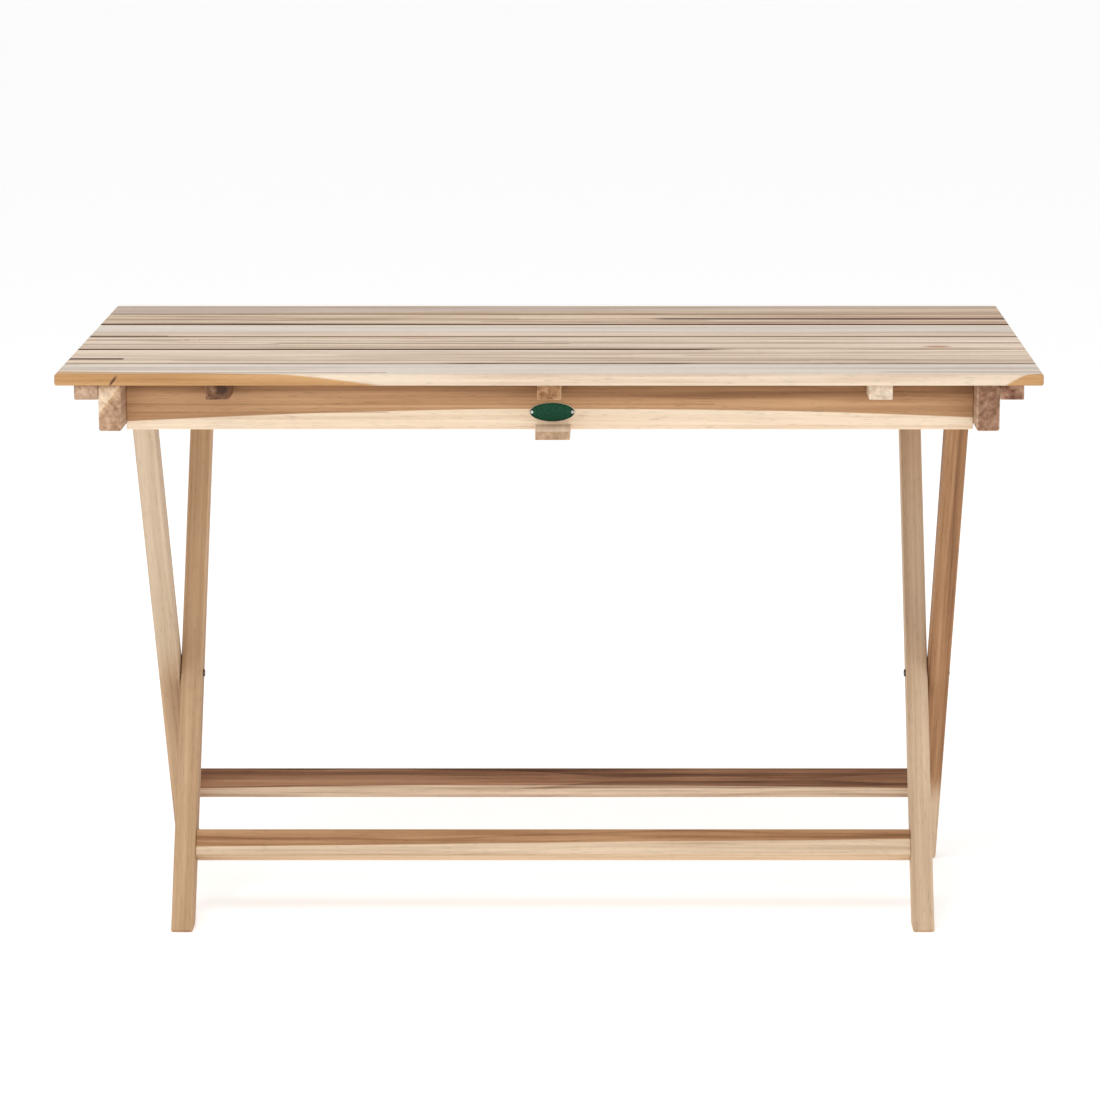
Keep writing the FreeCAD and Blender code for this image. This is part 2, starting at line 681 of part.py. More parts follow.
stretcher("front_stretcher", "Sizes.inner_leg_x", "Sizes.front_stretcher_thick",
          "-Sizes.front_stretcher_thick / 2", -1, [dowels])
stretcher("rear_stretcher", "Sizes.outer_leg_x + Sizes.leg_thick", "Sizes.rear_stretcher_thick",
          "Sizes.leg_width / 2", 1, [stretcher_screws])

# ---------------------------------------------------------------- check and export

doc.recompute()
for obj in doc.Objects:
    if "Invalid" in obj.State or "Error" in obj.State:
        raise RuntimeError("failed feature: %s %s" % (obj.Name, obj.State))
for part in parts:
    if part.Shape.isNull() or not part.Shape.isValid() or not part.Shape.Solids:
        raise RuntimeError("bad shape: %s" % part.Label)

os.makedirs("parts", exist_ok=True)
for part in parts:
    part.Shape.exportStep("parts/%s.step" % part.Label)
    print("%-24s %2d solid(s) %12.1f mm3" % (part.Label, len(part.Shape.Solids),
                                             part.Shape.Volume))
print(len(parts), "nodes")
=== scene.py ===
import json
import math

import bmesh
import bpy
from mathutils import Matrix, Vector


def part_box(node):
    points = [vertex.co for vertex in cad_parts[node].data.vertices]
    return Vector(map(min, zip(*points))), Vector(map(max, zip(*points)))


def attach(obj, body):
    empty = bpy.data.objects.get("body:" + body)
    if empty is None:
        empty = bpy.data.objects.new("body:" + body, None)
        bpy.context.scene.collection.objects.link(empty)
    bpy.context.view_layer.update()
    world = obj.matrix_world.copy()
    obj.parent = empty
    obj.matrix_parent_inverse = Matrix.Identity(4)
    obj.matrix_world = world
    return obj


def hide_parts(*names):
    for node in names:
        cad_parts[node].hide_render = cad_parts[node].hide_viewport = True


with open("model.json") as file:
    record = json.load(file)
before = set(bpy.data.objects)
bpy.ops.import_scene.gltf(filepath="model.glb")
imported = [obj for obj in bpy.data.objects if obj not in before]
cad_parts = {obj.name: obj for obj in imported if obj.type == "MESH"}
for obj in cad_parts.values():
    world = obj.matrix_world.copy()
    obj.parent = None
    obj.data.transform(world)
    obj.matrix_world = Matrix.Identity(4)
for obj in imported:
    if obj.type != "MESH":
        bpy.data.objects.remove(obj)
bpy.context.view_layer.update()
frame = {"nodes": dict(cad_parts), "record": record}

# ---------------------------------------------------------------- colours


def linear(red, green, blue):
    """Scene-linear colour from 0-255 display values."""
    values = []
    for channel in (red, green, blue):
        share = channel / 255
        if share <= 0.04045:
            values.append(share / 12.92)
        else:
            values.append(((share + 0.055) / 1.055) ** 2.4)
    return (*values, 1.0)


# Each palette runs from the palest early wood to the darkest late wood.
PALE = (linear(237, 219, 195), linear(223, 202, 179), linear(192, 161, 131))
SAP = (linear(255, 240, 214), linear(248, 226, 199), linear(222, 190, 156))
WHITE = (linear(228, 215, 202), linear(213, 200, 187), linear(178, 158, 140))
GREY = (linear(210, 192, 178), linear(193, 174, 159), linear(160, 136, 114))
CREAM = (linear(236, 216, 194), linear(214, 193, 171), linear(168, 139, 112))
SAND = (linear(224, 200, 174), linear(196, 170, 144), linear(146, 116, 90))
TAN = (linear(214, 182, 146), linear(192, 158, 121), linear(148, 111, 78))
OAK = (linear(216, 182, 144), linear(197, 161, 125), linear(162, 125, 93))
HONEY = (linear(200, 168, 134), linear(178, 145, 111), linear(146, 111, 80))
FAWN = (linear(214, 191, 165), linear(195, 171, 143), linear(166, 136, 108))
HAZEL = (linear(226, 196, 166), linear(204, 172, 142), linear(164, 130, 102))
ROSE = (linear(202, 172, 146), linear(176, 142, 116), linear(126, 91, 72))
HEART = (linear(214, 171, 129), linear(190, 147, 107), linear(142, 98, 64))
BROWN = (linear(186, 144, 106), linear(158, 116, 81), linear(112, 75, 49))
DARK_BROWN = (linear(166, 126, 96), linear(138, 98, 72), linear(90, 60, 42))
UMBER = (linear(142, 100, 68), linear(126, 86, 56), linear(98, 65, 42))
GOLD = (linear(212, 169, 118), linear(191, 146, 98), linear(150, 104, 62))
BEIGE = (linear(226, 202, 174), linear(206, 180, 151), linear(174, 142, 111))
# Painted shade for the gaps between the slats, darker over heart wood and tan over pale wood,
# and a painted highlight for their back arrises.
GAP_SHADE_DARK = (linear(100, 70, 48), linear(80, 54, 36), linear(62, 40, 26))
GAP_SHADE_TAN = (linear(154, 124, 96), linear(132, 102, 76), linear(104, 76, 54))
ARRIS_HIGHLIGHT = (linear(252, 236, 216), linear(243, 225, 202), linear(225, 202, 175))
DISPLAY_GAMMA = 2.2    # turns a display share into a light share

# ---------------------------------------------------------------- node helpers


class Graph:
    """Short calls for building one material's nodes."""

    def __init__(self, name):
        self.material = bpy.data.materials.new(name)
        self.material.use_nodes = True
        self.tree = self.material.node_tree
        self.tree.nodes.clear()
        self.output = self.tree.nodes.new("ShaderNodeOutputMaterial")
        self.shader = self.tree.nodes.new("ShaderNodeBsdfPrincipled")
        self.link(self.shader.outputs[0], self.output.inputs[0])

    def link(self, source, target):
        self.tree.links.new(source, target)

    def put(self, value, socket):
        """Set a socket to a value, or link it to another node's output."""
        if isinstance(value, bpy.types.NodeSocket):
            self.link(value, socket)
        else:
            socket.default_value = value

    def math(self, operation, first, second=0.0, third=0.0, clamp=False):
        node = self.tree.nodes.new("ShaderNodeMath")
        node.operation = operation
        node.use_clamp = clamp
        for value, socket in zip((first, second, third), node.inputs):
            self.put(value, socket)
        return node.outputs[0]

    def vector(self, operation, first, second=(0.0, 0.0, 0.0)):
        node = self.tree.nodes.new("ShaderNodeVectorMath")
        node.operation = operation
        self.put(first, node.inputs[0])
        self.put(second, node.inputs[1])
        return node.outputs["Value" if operation in ("DOT_PRODUCT", "LENGTH") else "Vector"]

    def combine(self, x, y, z):
        node = self.tree.nodes.new("ShaderNodeCombineXYZ")
        for value, socket in zip((x, y, z), node.inputs):
            self.put(value, socket)
        return node.outputs[0]

    def noise(self, vector, detail=2.0, roughness=0.5):
        """Noise of unit scale, about 0.5 on average."""
        node = self.tree.nodes.new("ShaderNodeTexNoise")
        self.put(vector, node.inputs["Vector"])
        node.inputs["Scale"].default_value = 1.0
        node.inputs["Detail"].default_value = detail
        node.inputs["Roughness"].default_value = roughness
        return node.outputs["Fac"]

    def ramp(self, factor, stops):
        """Colour ramp through (place, colour) stops."""
        node = self.tree.nodes.new("ShaderNodeValToRGB")
        self.link(factor, node.inputs[0])
        elements = node.color_ramp.elements
        while len(elements) < len(stops):
            elements.new(0.5)
        for element, (place, colour) in zip(elements, stops):
            element.position = place
            element.color = colour
        return node.outputs[0]

    def mix(self, factor, first, second, blend="MIX"):
        node = self.tree.nodes.new("ShaderNodeMix")
        node.data_type = "RGBA"
        node.blend_type = blend
        self.put(factor, node.inputs[0])
        self.put(first, node.inputs[6])
        self.put(second, node.inputs[7])
        return node.outputs[2]

    def between(self, value, low, high):
        """0 below low, 1 above high, smooth between; low may be the larger."""
        node = self.tree.nodes.new("ShaderNodeMapRange")
        node.interpolation_type = "SMOOTHSTEP"
        self.put(value, node.inputs[0])
        if low < high:
            ends = (low, high, 0.0, 1.0)
        else:
            ends = (high, low, 1.0, 0.0)
        for number, socket in zip(ends, node.inputs[1:5]):
            socket.default_value = number
        return node.outputs[0]

    def grey(self, value):
        """A number as a grey colour."""
        node = self.tree.nodes.new("ShaderNodeCombineColor")
        for socket in node.inputs:
            self.put(value, socket)
        return node.outputs[0]

    def bump(self, height, distance, strength=1.0):
        node = self.tree.nodes.new("ShaderNodeBump")
        node.inputs["Strength"].default_value = strength
        node.inputs["Distance"].default_value = distance
        self.link(height, node.inputs["Height"])
        self.link(node.outputs[0], self.shader.inputs["Normal"])


# ---------------------------------------------------------------- timber

RING_WIDTH = 0.0062
RING_WANDER = 0.045
PORE_LENGTHS_PER_METRE = 55.0
PORE_WIDTHS_PER_METRE = 1150.0
SPECKS_PER_METRE = 1100.0
BLOTCHES_PER_METRE = 150.0
MIDDLE_TONE = 0.36
TIMBER_SHEEN = 0.18
GRAIN_RELIEF = 0.00022


def timber(name, along, across, centre, palette, seed, other=None, boundary=None,
           patches=(), streaks=(), knots=(), pith=(0.02, -0.05), contrast=1.0,
           ends=(0.90, 0.87, 0.84)):
    """Sawn hardwood: growth rings about a pith line, broad bands, fibres and pores.

    along and across are the board's grain and width directions, centre its middle. other is a
    second palette that shows where boundary is above zero: (offset, slope, curve, wave, soft)
    of a line across the board, in metres of the across coordinate against the along one.
    patches: (normal, point, palette, soft, strength, start, end), a colour beyond a plane,
    between two places along the grain; most are the wood's own colour, some are painted gap
    shade, painted shadow under the top and painted edge highlights.
    streaks: (start, end, across place, half width, colour, strength) along the grain.
    knots: (along, across, through, length, width, slant, colour); slant leans a knot along
    the grain as it goes through the board. ends: the tint of the end grain, as display shares.
    """
    graph = Graph(name)
    coordinates = graph.tree.nodes.new("ShaderNodeTexCoord")
    position = graph.vector("SUBTRACT", coordinates.outputs["Object"], tuple(centre))
    through = along.cross(across)
    run = graph.vector("DOT_PRODUCT", position, tuple(along))
    side = graph.vector("DOT_PRODUCT", position, tuple(across))
    depth = graph.vector("DOT_PRODUCT", position, tuple(through))
    run_seeded = graph.math("ADD", run, seed * 3.7)

    def stretched(run_scale, side_scale, shift=0.0):
        x = graph.math("MULTIPLY", run_seeded, run_scale)
        y = graph.math("MULTIPLY_ADD", side, side_scale, shift + seed * 1.3)
        z = graph.math("MULTIPLY", depth, side_scale)
        return graph.combine(x, y, z)

    wander = graph.noise(stretched(1.3, 4.0), 2.0)
    wander = graph.math("MULTIPLY", graph.math("SUBTRACT", wander, 0.5), RING_WANDER)
    knot_masks = []
    for knot_run, knot_side, knot_depth, length, width, slant, colour in knots:
        leaning = graph.math("MULTIPLY_ADD", depth, -slant, run)
        x = graph.math("DIVIDE", graph.math("SUBTRACT", leaning, knot_run), length)
        y = graph.math("DIVIDE", graph.math("SUBTRACT", side, knot_side), width)
        z = graph.math("DIVIDE", graph.math("SUBTRACT", depth, knot_depth), width)
        reach = graph.vector("LENGTH", graph.combine(x, y, z))
        knot_masks.append((graph.between(reach, 1.0, 0.35), colour))
        pull = graph.math("MULTIPLY", graph.between(reach, 3.2, 0.6), width * 1.6)
        wander = graph.math("ADD", wander, pull)

    ring_side = graph.math("SUBTRACT", graph.math("ADD", side, wander), pith[0])
    ring_depth = graph.math("SUBTRACT", graph.math("ADD", depth, wander), pith[1])
    squares = graph.math("ADD", graph.math("MULTIPLY", ring_side, ring_side),
                         graph.math("MULTIPLY", ring_depth, ring_depth))
    radius = graph.math("SQRT", squares)
    rings = graph.math("DIVIDE", radius, RING_WIDTH)
    uneven = graph.noise(graph.combine(graph.math("MULTIPLY", radius, 60.0), seed, 0.0), 2.0)
    rings = graph.math("ADD", rings, graph.math("MULTIPLY", uneven, 2.5))
    phase = graph.math("FRACT", rings)
    late = graph.ramp(phase, ((0.0, (0.0, 0.0, 0.0, 1)), (0.5, (0.22, 0.22, 0.22, 1)),
                              (0.86, (1.0, 1.0, 1.0, 1)), (1.0, (0.0, 0.0, 0.0, 1))))
    white = graph.tree.nodes.new("ShaderNodeTexWhiteNoise")
    white.noise_dimensions = "1D"
    graph.link(graph.math("ADD", graph.math("FLOOR", rings), seed), white.inputs["W"])
    strength = graph.math("MULTIPLY_ADD", graph.math("POWER", white.outputs["Value"], 2.0),
                          0.75, 0.12)
    facing = graph.math("ABSOLUTE", graph.vector("DOT_PRODUCT", coordinates.outputs["Normal"],
                                                 tuple(along)))
    end_grain = graph.between(facing, 0.72, 0.95)
    strength = graph.math("MULTIPLY", strength, graph.math("MULTIPLY_ADD", end_grain, -0.6, 1.0))
    late_tone = graph.math("MULTIPLY", late, strength)

    broad = graph.noise(stretched(0.55, 14.0, 5.0), 2.0)
    streaky = graph.noise(stretched(1.3, 62.0, 9.0), 3.0, 0.65)
    thin = graph.noise(stretched(2.6, 190.0, 6.0), 2.0)
    fibre = graph.noise(stretched(11.0, 620.0, 2.0), 3.0, 0.6)
    cloud = graph.noise(stretched(7.0, 26.0, 4.0), 2.0)
    pores = graph.noise(stretched(PORE_LENGTHS_PER_METRE, PORE_WIDTHS_PER_METRE, 7.0), 1.0)
    pore_mask = graph.between(pores, 0.60, 0.74)

    tone = graph.math("MULTIPLY", late_tone, 0.50 * contrast)
    for source, weight in ((broad, 1.10), (streaky, 2.10), (thin, 1.20), (cloud, 0.50),
                           (fibre, 0.45)):
        centred = graph.math("SUBTRACT", source, 0.5)
        tone = graph.math("MULTIPLY_ADD", centred, weight * contrast, tone)
    tone = graph.math("ADD", tone, MIDDLE_TONE, clamp=True)

    def coloured(shades):
        return graph.ramp(tone, ((0.0, shades[0]), (0.45, shades[1]), (1.0, shades[2])))

    colour = coloured(palette)
    if other:
        offset, slope, curve, wave, soft = boundary
        line = graph.math("MULTIPLY_ADD", run, slope, offset)
        line = graph.math("MULTIPLY_ADD", graph.math("MULTIPLY", run, run), curve, line)
        ripple = graph.math("SUBTRACT", graph.noise(stretched(2.2, 12.0, 3.0), 2.0), 0.5)
        line = graph.math("MULTIPLY_ADD", ripple, wave, line)
        beyond = graph.between(graph.math("SUBTRACT", side, line), -soft, soft)
        colour = graph.mix(beyond, colour, coloured(other))
    for normal, point, overlay, soft, amount, start, end in patches:
        offset = graph.vector("SUBTRACT", coordinates.outputs["Object"], tuple(point))
        distance = graph.vector("DOT_PRODUCT", offset, tuple(normal))
        distance = graph.math("MULTIPLY_ADD", graph.math("SUBTRACT", streaky, 0.5),
                              soft * 2.5, distance)
        mask = graph.math("MULTIPLY", graph.between(distance, -soft, soft), amount)
        mask = graph.math("MULTIPLY", mask, graph.between(run, start - 0.05, start + 0.01))
        mask = graph.math("MULTIPLY", mask, graph.between(run, end + 0.05, end - 0.01))
        colour = graph.mix(mask, colour, coloured(overlay))
    for start, end, place, half, overlay, amount in streaks:
        bend = graph.math("MULTIPLY", wander, 0.10)
        aside = graph.math("ABSOLUTE", graph.math("SUBTRACT", graph.math("ADD", side, bend),
                                                  place))
        inside = graph.between(aside, half, half * 0.35)
        started = graph.between(run, start - 0.03, start)
        unfinished = graph.between(run, end + 0.004, end)
        mask = graph.math("MULTIPLY", graph.math("MULTIPLY", started, unfinished), inside)
        colour = graph.mix(graph.math("MULTIPLY", mask, amount), colour, overlay)
    for mask, overlay in knot_masks:
        colour = graph.mix(mask, colour, overlay)

    grain_shade = graph.math("MULTIPLY_ADD", fibre, 0.14, 0.93)
    grain_shade = graph.math("MULTIPLY_ADD", pore_mask, -0.24, grain_shade)
    colour = graph.mix(1.0, colour, graph.grey(grain_shade), "MULTIPLY")

    speck = graph.noise(graph.vector("MULTIPLY", position, (SPECKS_PER_METRE,) * 3), 3.0, 0.7)
    blotch = graph.noise(graph.vector("MULTIPLY", position, (BLOTCHES_PER_METRE,) * 3), 2.0)
    end_shade = graph.math("MULTIPLY_ADD", late, -0.08, 1.03)
    end_shade = graph.math("MULTIPLY_ADD", graph.math("SUBTRACT", speck, 0.5), 0.80, end_shade)
    end_shade = graph.math("MULTIPLY_ADD", graph.math("SUBTRACT", blotch, 0.5), 0.55, end_shade)
    end_colour = graph.mix(1.0, colour, graph.grey(end_shade), "MULTIPLY")
    end_tint = [share ** DISPLAY_GAMMA for share in ends]
    end_colour = graph.mix(1.0, end_colour, (*end_tint, 1.0), "MULTIPLY")
    colour = graph.mix(end_grain, colour, end_colour)
    graph.link(colour, graph.shader.inputs["Base Color"])

    gloss = graph.math("MULTIPLY_ADD", fibre, 0.18, 0.58)
    gloss = graph.math("MULTIPLY_ADD", end_grain, 0.25, gloss)
    graph.link(gloss, graph.shader.inputs["Roughness"])
    graph.shader.inputs["Specular IOR Level"].default_value = TIMBER_SHEEN
    height = graph.math("MULTIPLY_ADD", pore_mask, -0.7, fibre)
    height = graph.math("MULTIPLY_ADD", late_tone, 0.35, height)
    graph.bump(height, GRAIN_RELIEF, 0.55)
    return graph.material


def dress(node, material):
    """Give a carried-over CAD node its material."""
    mesh = frame["nodes"][node].data
    mesh.materials.clear()
    mesh.materials.append(material)


def middle(node):
    low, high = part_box(node)
    return (low + high) / 2


X = Vector((1, 0, 0))
Y = Vector((0, 1, 0))
Z = Vector((0, 0, 1))

# ---------------------------------------------------------------- slats of the top

STREAK = linear(104, 68, 52)
PLUM = linear(76, 46, 38)
SOFT_STREAK = linear(160, 132, 108)
FAINT_STREAK = linear(178, 156, 134)

FAR = 1.0                  # past either end of any board
EDGE_DEPTH = 0.0040
EDGE_SOFTNESS = 0.0007
# Painted highlight strip along each slat's back edge.
BACK_HIGHLIGHT_WIDTH = 0.0075
BACK_HIGHLIGHT_SOFTNESS = 0.0020
BACK_HIGHLIGHT_STRENGTH = 0.75


def front_edge(node, overlay, start, end, amount):
    """Colour on a slat's front edge between two places along it: the wood's own pale face on the
    front slat, painted gap shade on the others.
    """
    low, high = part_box(node)
    point = Vector((0, low.y + EDGE_DEPTH, high.z))
    return (-Y, point, overlay, EDGE_SOFTNESS, amount, start, end)


def back_arris_highlight(node):
    """Painted highlight: a paler line along a slat's back edge, where its rounded arris catches
    the light.
    """
    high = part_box(node)[1]
    point = Vector((0, high.y - BACK_HIGHLIGHT_WIDTH, high.z))
    return (Y, point, ARRIS_HIGHLIGHT, BACK_HIGHLIGHT_SOFTNESS, BACK_HIGHLIGHT_STRENGTH, -FAR, FAR)


# Golden heart wood crosses both ends of the front slat. Each limit is a plane given by where
# it starts from the slat's end and by how far it runs along, into and down the board.
front_low, front_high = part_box("top_slat_1")
left_end, front_y, top_z = front_low.x, front_low.y, front_high.z
SLAT_THICK = 0.014
HEART_START, HEART_RUN, HEART_REACH = 0.29, 0.11, 0.010
gold_point = Vector((left_end + HEART_START, front_y, top_z))
gold_normal = -Vector((1 / HEART_RUN, 1 / HEART_REACH, 1 / SLAT_THICK)) * SLAT_THICK
WEDGE_START, WEDGE_RUN, WEDGE_REACH = 0.022, 0.0264, 0.008
right_point = Vector((-left_end - WEDGE_START, front_y, top_z))
right_normal = Vector((1 / WEDGE_RUN, -1 / WEDGE_REACH, -1 / SLAT_THICK)) * SLAT_THICK

slats = {
    "top_slat_1": dict(palette=WHITE, seed=1.0, contrast=0.75, pith=(0.05, -0.09),
                       patches=[front_edge("top_slat_1", PALE, -FAR, FAR, 1.0),
                                (gold_normal, gold_point, GOLD, 0.0016, 1.0, -FAR, FAR),
                                (right_normal, right_point, GOLD, 0.0016, 1.0, -FAR, FAR)],
                       streaks=((-0.60, -0.20, -0.028, 0.0060, FAINT_STREAK, 0.75),
                                (-0.60, -0.30, -0.006, 0.0040, FAINT_STREAK, 0.55),
                                (0.42, 0.60, -0.022, 0.0050, SOFT_STREAK, 0.65)),
                       knots=((-0.528, -0.042, -0.001, 0.0030, 0.0085, 0.7, STREAK),)),
    "top_slat_2": dict(palette=CREAM, seed=2.3, pith=(-0.03, -0.05), contrast=0.95,
                       streaks=((-0.63, -0.533, -0.020, 0.0085, PLUM, 1.0),
                                (-0.45, 0.63, -0.033, 0.0045, FAINT_STREAK, 0.85),
                                (-0.05, 0.32, -0.036, 0.0035, SOFT_STREAK, 0.7),
                                (-0.25, 0.10, 0.012, 0.0040, FAINT_STREAK, 0.7),
                                (0.18, 0.63, 0.009, 0.0042, SOFT_STREAK, 0.75))),
    "top_slat_3": dict(palette=CREAM, seed=3.9, pith=(0.02, -0.04), contrast=1.15,
                       streaks=((-0.63, -0.478, 0.024, 0.0040, SOFT_STREAK, 0.8),
                                (-0.63, -0.35, -0.012, 0.0060, FAINT_STREAK, 0.7),
                                (-0.34, 0.02, -0.002, 0.0055, STREAK, 0.62),
                                (0.00, 0.63, 0.001, 0.0050, SOFT_STREAK, 0.9),
                                (-0.42, -0.05, 0.022, 0.0040, FAINT_STREAK, 0.6)),
                       knots=((-0.470, 0.026, 0.007, 0.006, 0.0040, 0.0, STREAK),
                              (0.489, -0.030, 0.007, 0.024, 0.0100, 0.0,
                               linear(186, 140, 114)))),
    "top_slat_4": dict(palette=CREAM, seed=5.1, pith=(0.00, -0.12), contrast=0.70,
                       other=WHITE, boundary=(-0.018, 0.0, 0.0, 0.02, 0.010),
                       streaks=((-0.63, -0.50, -0.046, 0.0040, STREAK, 0.7),
                                (-0.30, 0.20, 0.026, 0.0030, FAINT_STREAK, 0.5))),
    "top_slat_5": dict(palette=SAND, seed=6.4, pith=(-0.02, -0.045), contrast=1.20,
                       other=ROSE, boundary=(0.062, -0.19, 0.0, 0.03, 0.014),
                       streaks=((0.15, 0.63, 0.006, 0.0095, PLUM, 1.0),
                                (0.22, 0.63, -0.009, 0.0040, CREAM[0], 0.8),
                                (0.05, 0.63, -0.026, 0.0045, STREAK, 0.45),
                                (-0.60, -0.05, 0.006, 0.0045, SOFT_STREAK, 0.75),
                                (-0.63, -0.10, -0.022, 0.0050, CREAM[0], 0.7))),
    "top_slat_6": dict(palette=SAND, seed=7.7, pith=(0.03, -0.10), contrast=0.80,
                       other=GREY, boundary=(-0.012, 0.05, 0.0, 0.02, 0.012)),
}
# Painted shade in the gaps between the slats, on each slat's front edge; its tone follows the
# wood there.
gap_shade_tones = {
    "top_slat_2": ((GAP_SHADE_DARK, -FAR, -0.10, 0.55), (GAP_SHADE_DARK, -0.10, 0.15, 0.75),
                   (GAP_SHADE_DARK, 0.15, FAR, 0.60)),
    "top_slat_3": ((GAP_SHADE_DARK, -FAR, 0.19, 1.0),),
    "top_slat_4": ((GAP_SHADE_DARK, -FAR, -0.48, 0.8), (GAP_SHADE_TAN, -0.48, FAR, 0.9)),
    "top_slat_5": ((GAP_SHADE_DARK, -FAR, FAR, 1.0),),
    "top_slat_6": ((GAP_SHADE_DARK, -FAR, -0.42, 0.6), (GAP_SHADE_TAN, -0.42, 0.12, 0.9),
                   (GAP_SHADE_DARK, 0.12, FAR, 0.55)),
}
for node, gap_shades in gap_shade_tones.items():
    gap_patches = [front_edge(node, *overlay) for overlay in gap_shades]
    slats[node]["patches"] = [back_arris_highlight(node)] + gap_patches
darker_end = (X, middle("top_slat_5") + X * 0.16, ROSE, 0.22, 0.75, -FAR, FAR)
slats["top_slat_5"]["patches"].insert(0, darker_end)
for node, look in slats.items():
    dress(node, timber(node + "_timber", X, Y, middle(node), **look))

# ---------------------------------------------------------------- rest of the top

apron = middle("front_apron")
apron_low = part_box("front_apron")[0].z - apron.z
# Painted shadow of the top's overhang, partly the heart wood's own darker colour: the apron
# turns UMBER towards its upper edge.
APRON_SHADE_DROP = 0.031
apron_shade = Vector((0, 0, top_z - APRON_SHADE_DROP))
dress("front_apron", timber(
    "front_apron_timber", X, Z, apron, SAP, 11.0, other=HEART,
    boundary=(apron_low + 0.0255, 0.004, -0.046, 0.004, 0.0007), pith=(0.10, 0.05), contrast=0.6,
    patches=((Z, apron_shade, UMBER, 0.0100, 0.85, -FAR, FAR),),
    streaks=((-0.52, 0.20, 0.0, 0.0016, BROWN[1], 0.45),
             (-0.52, -0.20, -0.010, 0.0014, BROWN[1], 0.40))))
dress("rear_apron", timber(
    "rear_apron_timber", X, Z, middle("rear_apron"), BROWN, 12.0, other=PALE,
    boundary=(0.012, 0.01, 0.02, 0.006, 0.001), pith=(-0.06, 0.04), contrast=0.9))

NO_TINT = (1.0, 1.0, 1.0)
rail_left, rail_right = middle("side_rail_left"), middle("side_rail_right")
sap_corner = Vector((-0.80, 0, 0.60))
dress("side_rail_left", timber(
    "rail_left_timber", Y, Z, rail_left, ROSE, 13.0, contrast=1.1, pith=(-0.06, -0.05),
    patches=((sap_corner, rail_left + Vector((0.001, 0, 0.007)), TAN, 0.0012, 0.8, -FAR, FAR),
             (sap_corner, rail_left + Vector((-0.001, 0, 0.009)), PALE, 0.0012, 0.9, -FAR, FAR)),
    ends=(0.96, 0.93, 0.90)))
dress("side_rail_right", timber(
    "rail_right_timber", Y, Z, rail_right, ROSE, 14.0, contrast=0.9, pith=(-0.07, 0.06),
    ends=(0.82, 0.76, 0.74)))
for node, palette, seed, grain, ends in (
        ("outer_batten_left", ROSE, 15.0, 1.0, NO_TINT),
        ("inner_batten_left", DARK_BROWN, 16.0, 1.4, (0.84, 0.84, 0.86)),
        ("middle_batten", TAN, 17.0, 1.1, (0.85, 0.78, 0.74)),
        ("inner_batten_right", PALE, 18.0, 0.7, (0.97, 0.97, 0.97)),
        ("outer_batten_right", ROSE, 19.0, 1.1, (0.87, 0.81, 0.80)),
        ("guide_bar", PALE, 20.0, 0.7, (0.79, 0.72, 0.66))):
    knots = ()
    if node == "inner_batten_left":
        knots = ((-0.295, 0.006, -0.004, 0.040, 0.0110, 0.0, linear(92, 66, 52)),)
    dress(node, timber(node + "_timber", Y, X, middle(node), palette, seed, contrast=grain,
                       pith=(0.01, -0.03), knots=knots, ends=ends))

# ---------------------------------------------------------------- leg frames

fold = next(joint for joint in frame["record"]["behaviour"]["joints"] if joint["name"] == "fold")
scissor = next(joint for joint in frame["record"]["behaviour"]["joints"]
               if joint["name"] == "scissor")
top_pivot = Vector(fold["pos_m"])
crossing = Vector(scissor["pos_m"])
down_outer = (crossing - top_pivot).normalized()
down_inner = Vector((0, -down_outer.y, down_outer.z))

# Per leg: node, grain direction, palette, seed, contrast, and the second tone that it changes
# to further down: (palette, place below the leg's middle, softness).
legs = (
    ("outer_leg_left", down_outer, FAWN, 21.0, 0.65, (HONEY, 0.04, 0.05)),
    ("outer_leg_right", down_outer, BROWN, 22.0, 0.75, (BEIGE, 0.27, 0.03)),
    ("inner_leg_left", down_inner, OAK, 23.0, 0.7, (HONEY, 0.02, 0.06)),
    ("inner_leg_right", down_inner, HAZEL, 24.0, 0.6, (BEIGE, -0.20, 0.10)),
)
for node, down, palette, seed, grain, (lower, drop, soft) in legs:
    change = (down, middle(node) + down * drop, lower, soft, 0.85, -FAR, FAR)
    dress(node, timber(node + "_timber", down, X, middle(node), palette, seed, contrast=grain,
                       pith=(0.03, -0.05), patches=(change,)))
dress("slide_rod", timber("slide_rod_timber", X, Y, middle("slide_rod"), TAN, 25.0,
                          pith=(0.01, -0.02)))
front_bar, rear_bar = middle("front_stretcher"), middle("rear_stretcher")
STRETCHER_HALF_WIDTH = 0.0175
UNDER_EDGE = 0.0012
under_edge = front_bar + down_inner * (STRETCHER_HALF_WIDTH - UNDER_EDGE)
dress("front_stretcher", timber(
    "front_stretcher_timber", X, -down_inner, front_bar, BEIGE, 26.0, other=BROWN,
    boundary=(-0.0003, 0.0112, 0.0, 0.004, 0.0006), pith=(-0.04, -0.03), contrast=1.0,
    patches=((down_inner, under_edge, TAN, 0.0006, 0.8, -FAR, FAR),)))
dress("rear_stretcher", timber(
    "rear_stretcher_timber", X, -down_outer, rear_bar, SAND, 27.0, other=DARK_BROWN,
    boundary=(0.006, 0.0, -0.023, 0.004, 0.0006), pith=(-0.04, -0.03), contrast=1.2))
dress("front_stretcher_dowels", timber("dowel_timber", X, Y, middle("front_stretcher_dowels"),
                                       PALE, 28.0))

# ---------------------------------------------------------------- metal


SCRATCHES_PER_METRE = (700.0, 700.0, 90.0)


